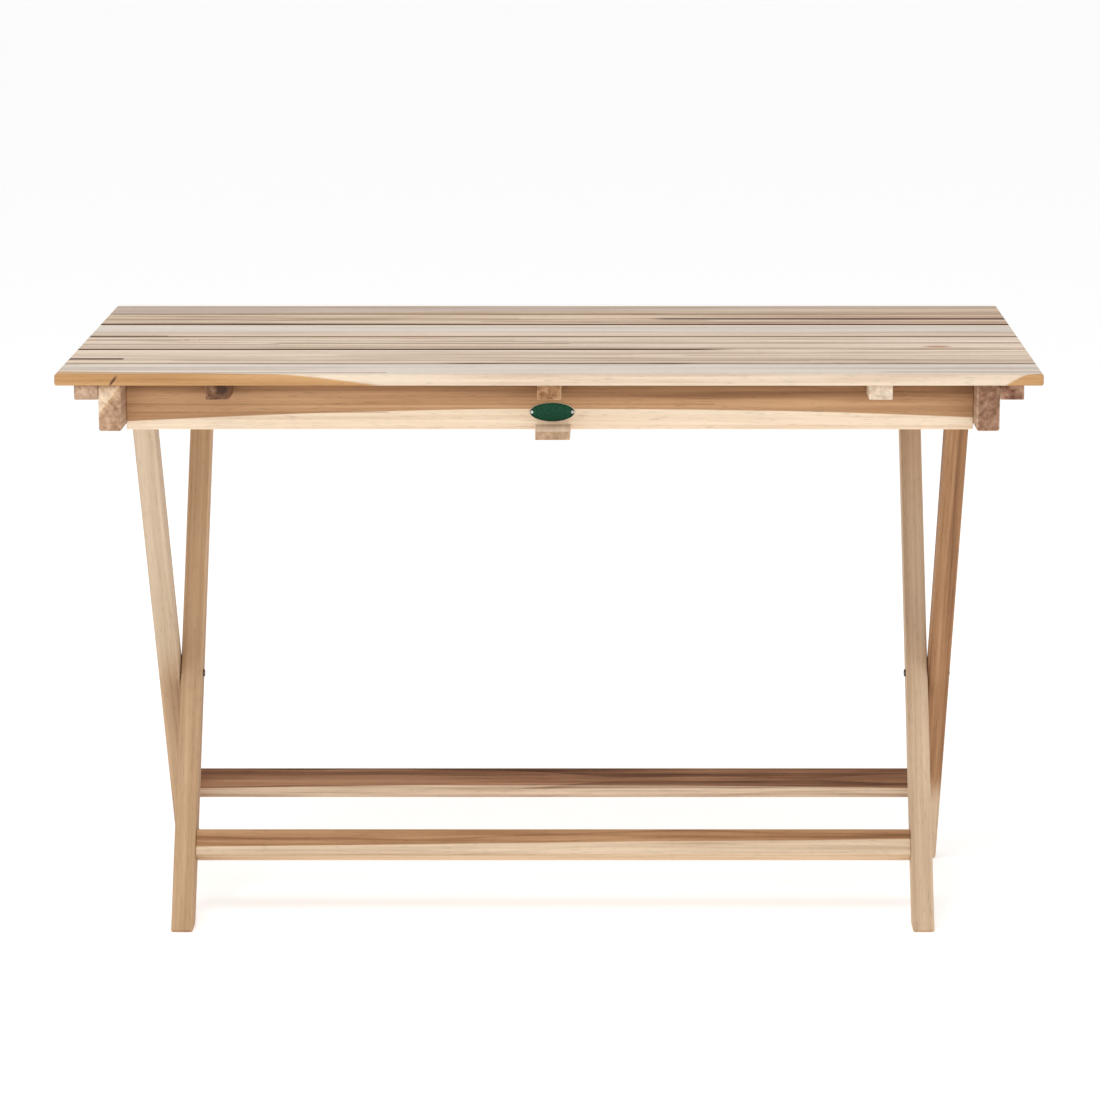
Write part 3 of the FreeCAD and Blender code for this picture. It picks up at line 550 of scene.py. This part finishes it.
def metal(name, colour, roughness, overlay):
    """Fastener steel with brushed scratches and a little staining."""
    graph = Graph(name)
    coordinates = graph.tree.nodes.new("ShaderNodeTexCoord").outputs["Object"]
    scratch = graph.noise(graph.vector("MULTIPLY", coordinates, SCRATCHES_PER_METRE), 3.0)
    blotch = graph.noise(graph.vector("MULTIPLY", coordinates, (260.0, 260.0, 260.0)), 3.0)
    tone = graph.mix(graph.between(blotch, 0.48, 0.68), colour, overlay)
    tone = graph.mix(1.0, tone, graph.grey(graph.math("MULTIPLY_ADD", scratch, 0.3, 0.85)),
                     "MULTIPLY")
    graph.link(tone, graph.shader.inputs["Base Color"])
    graph.shader.inputs["Metallic"].default_value = 1.0
    graph.link(graph.math("MULTIPLY_ADD", scratch, 0.25, roughness),
               graph.shader.inputs["Roughness"])
    graph.bump(scratch, 0.00006, 0.5)
    return graph.material


bright_steel = metal("bright_steel", linear(226, 222, 214), 0.24, linear(196, 190, 180))
dark_steel = metal("dark_steel", linear(122, 108, 94), 0.38, linear(92, 74, 60))
for node in ("slat_screws", "batten_screws", "apron_screws", "guide_bar_screws",
             "rear_stretcher_screws", "slide_rod_pins"):
    dress(node, bright_steel)
for node in ("top_pivot_bolts", "top_pivot_nuts", "top_pivot_washers", "cross_pivot_bolts",
             "cross_pivot_nuts", "cross_pivot_washers"):
    dress(node, dark_steel)

# ---------------------------------------------------------------- badge


def lathe(built, rings, segments, centre):
    """Closed shell of oval rings stacked along -Y: ((half width, half height), depth) pairs."""
    loops = []
    for (half_width, half_height), depth in rings:
        loop = []
        for step in range(segments):
            angle = math.tau * step / segments
            loop.append(built.verts.new(centre + Vector((
                half_width * math.cos(angle), -depth, half_height * math.sin(angle)))))
        loops.append(loop)
    for inner, outer in zip(loops, loops[1:]):
        for step in range(segments):
            after = (step + 1) % segments
            built.faces.new((inner[step], inner[after], outer[after], outer[step]))
    built.faces.new(loops[0])
    built.faces.new(list(reversed(loops[-1])))


def new_object(name, built):
    """Object from a bmesh, which is freed."""
    mesh = bpy.data.meshes.new(name)
    built.to_mesh(mesh)
    built.free()
    piece = bpy.data.objects.new(name, mesh)
    bpy.context.collection.objects.link(piece)
    return piece


badge_low, badge_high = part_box("badge_plate")
badge_centre = (badge_low + badge_high) / 2
badge_half = (badge_high - badge_low) / 2
plate_depth = badge_high.y - badge_low.y

# Oval plate with a raised rim and a slightly domed field: (inset from the outline, depth share).
BADGE_OUTLINE = ((0.0, 0.0), (0.0, 0.75), (0.0006, 1.0), (0.0017, 1.0), (0.0021, 0.72),
                 (0.0040, 0.66), (0.0080, 0.74), (0.0112, 0.78))
badge_built = bmesh.new()
lathe(badge_built, [((badge_half.x - inset, badge_half.z - inset), depth * plate_depth)
                    for inset, depth in BADGE_OUTLINE],
      96, Vector((badge_centre.x, badge_high.y, badge_centre.z)))
bmesh.ops.recalc_face_normals(badge_built, faces=badge_built.faces)
for face in badge_built.faces:
    face.smooth = True
badge = new_object("badge_enamel_plate", badge_built)
enamel = Graph("green_enamel")
enamel_place = enamel.tree.nodes.new("ShaderNodeTexCoord").outputs["Object"]
cloud = enamel.noise(enamel.vector("MULTIPLY", enamel_place, (420.0, 420.0, 420.0)), 4.0)
wear = enamel.noise(enamel.vector("MULTIPLY", enamel_place, (1500.0, 300.0, 1500.0)), 2.0)
green = enamel.ramp(cloud, ((0.3, linear(0, 62, 38)), (0.7, linear(0, 86, 56))))
green = enamel.mix(enamel.between(wear, 0.68, 0.80), green, linear(24, 100, 74))
offset = enamel.vector("SUBTRACT", enamel_place, tuple(badge_centre))
scaled = enamel.vector("MULTIPLY", offset, (1 / badge_half.x, 0.0, 1 / badge_half.z))
rim = enamel.between(enamel.vector("LENGTH", scaled), 0.86, 0.91)
# Painted highlight: a pale line round the plate's outer edge, where the metal rim catches the
# light.
edge = enamel.between(enamel.vector("LENGTH", scaled), 0.950, 0.970)
coat = enamel.mix(edge, enamel.mix(rim, green, linear(4, 44, 30)), linear(228, 216, 192))
enamel.link(coat, enamel.shader.inputs["Base Color"])
enamel.shader.inputs["Specular IOR Level"].default_value = 0.22
enamel.link(enamel.math("MULTIPLY_ADD", cloud, 0.12, 0.22), enamel.shader.inputs["Roughness"])
enamel.bump(cloud, 0.00005, 0.6)
badge.data.materials.append(enamel.material)
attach(badge, "table_top")
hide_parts("badge_plate")

dress("badge_screws", bright_steel)

# ---------------------------------------------------------------- floor, light, camera

STAGE_RADIUS = 60.0
STAGE_SIDES = 96
BACKDROP_HEIGHT = 6.0
stage_look = Graph("pale_stage")
stage_look.shader.inputs["Base Color"].default_value = linear(250, 250, 250)
stage_look.shader.inputs["Emission Color"].default_value = (1.0, 1.0, 1.0, 1.0)
stage_look.shader.inputs["Emission Strength"].default_value = 0.33
stage_look.shader.inputs["Roughness"].default_value = 0.9
stage_look.shader.inputs["Specular IOR Level"].default_value = 0.1

floor_built = bmesh.new()
bmesh.ops.create_circle(floor_built, cap_ends=True, radius=STAGE_RADIUS, segments=STAGE_SIDES)
floor = new_object("floor", floor_built)
backdrop_built = bmesh.new()
bmesh.ops.create_cone(backdrop_built, cap_ends=False, segments=STAGE_SIDES,
                      radius1=STAGE_RADIUS, radius2=STAGE_RADIUS, depth=BACKDROP_HEIGHT)
bmesh.ops.translate(backdrop_built, verts=backdrop_built.verts,
                    vec=(0.0, 0.0, BACKDROP_HEIGHT / 2))
backdrop = new_object("backdrop", backdrop_built)
for piece in (floor, backdrop):
    piece.data.materials.append(stage_look.material)

world = bpy.data.worlds.new("studio")
bpy.context.scene.world = world
world.use_nodes = True
background = world.node_tree.nodes["Background"]
background.inputs["Color"].default_value = (1.0, 1.0, 1.0, 1.0)
background.inputs["Strength"].default_value = 0.66


def softbox(name, place, target, size, power):
    lamp = bpy.data.lights.new(name, "AREA")
    lamp.shape = "RECTANGLE"
    lamp.size, lamp.size_y = size
    lamp.energy = power
    light = bpy.data.objects.new(name, lamp)
    light.location = place
    light.rotation_euler = (Vector(target) - Vector(place)).to_track_quat("-Z", "Y").to_euler()
    bpy.context.collection.objects.link(light)


softbox("key_softbox", (-0.9, -2.3, 3.6), (0, 0, 0.5), (1.8, 1.4), 52.0)
softbox("fill_softbox", (2.4, -3.2, 1.5), (0, 0, 0.4), (2.0, 2.0), 9.0)
softbox("back_softbox", (0.3, 2.6, 2.6), (0, 0, 0.7), (3.0, 1.6), 14.0)

PITCH_DOWN = 10.83
camera_data = bpy.data.cameras.new("camera")
camera_data.sensor_width = 36.0
camera_data.lens = 125.6
camera_data.shift_x = -0.0625
camera_data.shift_y = -0.05
camera_data.clip_end = 200.0
camera = bpy.data.objects.new("camera", camera_data)
camera.location = (0.0846, -4.895, 1.4754)
camera.rotation_euler = (math.radians(90 - PITCH_DOWN), 0.0, 0.0)
bpy.context.collection.objects.link(camera)
bpy.context.scene.camera = camera
bpy.context.scene.view_settings.view_transform = "Standard"
